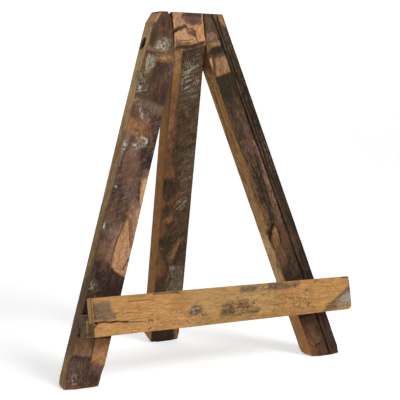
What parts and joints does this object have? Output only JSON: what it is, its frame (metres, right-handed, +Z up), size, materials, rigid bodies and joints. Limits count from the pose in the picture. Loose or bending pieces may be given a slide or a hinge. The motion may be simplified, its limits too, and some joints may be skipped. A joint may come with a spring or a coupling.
{
  "type": "tabletop display easel",
  "caption": "Tabletop easel of reclaimed battens: two splayed front legs, a rear leg swinging on a through bolt, and a picture ledge with a lip.",
  "frame": {"origin": "middle of the footprint's box, on the surface that the easel stands on", "axes": "+Z up, -Y is the front that a picture faces, +X to the right as seen from behind the picture's front, looking along +Y"},
  "size_m": [0.3692, 0.2094, 0.43],
  "materials": {
    "worn_painted_wood": "old dark paint worn through to tan wood",
    "dark_cracked_wood": "near-black weathered face with long cracks",
    "weathered_wood": "grey-brown weathered, saw-marked",
    "aged_strip_wood": "rough sawn, unfinished",
    "honey_planed_wood": "planed and oiled, with grey marks",
    "zinc_steel": "zinc plated",
    "washer_fibre": "pressed black fibre",
    "screw_steel": "yellow passivated",
    "rusted_iron": "dull, darkened by rust"
  },
  "bodies": {
    "front_frame": {"left_leg": "worn_painted_wood", "right_leg": "dark_cracked_wood", "ledge_shelf": "aged_strip_wood", "ledge_lip": "honey_planed_wood", "pivot_bolt": "zinc_steel", "pivot_nut": "zinc_steel", "bolt_head_washer": "zinc_steel", "nut_washer": "zinc_steel", "left_friction_washer": "washer_fibre", "right_friction_washer": "washer_fibre", "ledge_screw_left_a": "screw_steel", "ledge_screw_left_b": "screw_steel", "ledge_screw_right_a": "screw_steel", "ledge_screw_right_b": "screw_steel", "lip_nail_1": "rusted_iron", "lip_nail_2": "rusted_iron", "lip_nail_3": "rusted_iron", "lip_nail_4": "rusted_iron"},
    "rear_leg": {"rear_leg": "weathered_wood"}
  },
  "joints": [
    {"name": "rear_leg_hinge", "type": "hinge", "parent": "front_frame", "child": "rear_leg", "pos_m": [0.0099, 0.01597, 0.39037], "axis": [1, 0, 0], "range_deg": [-22.9, 22]}
  ]
}
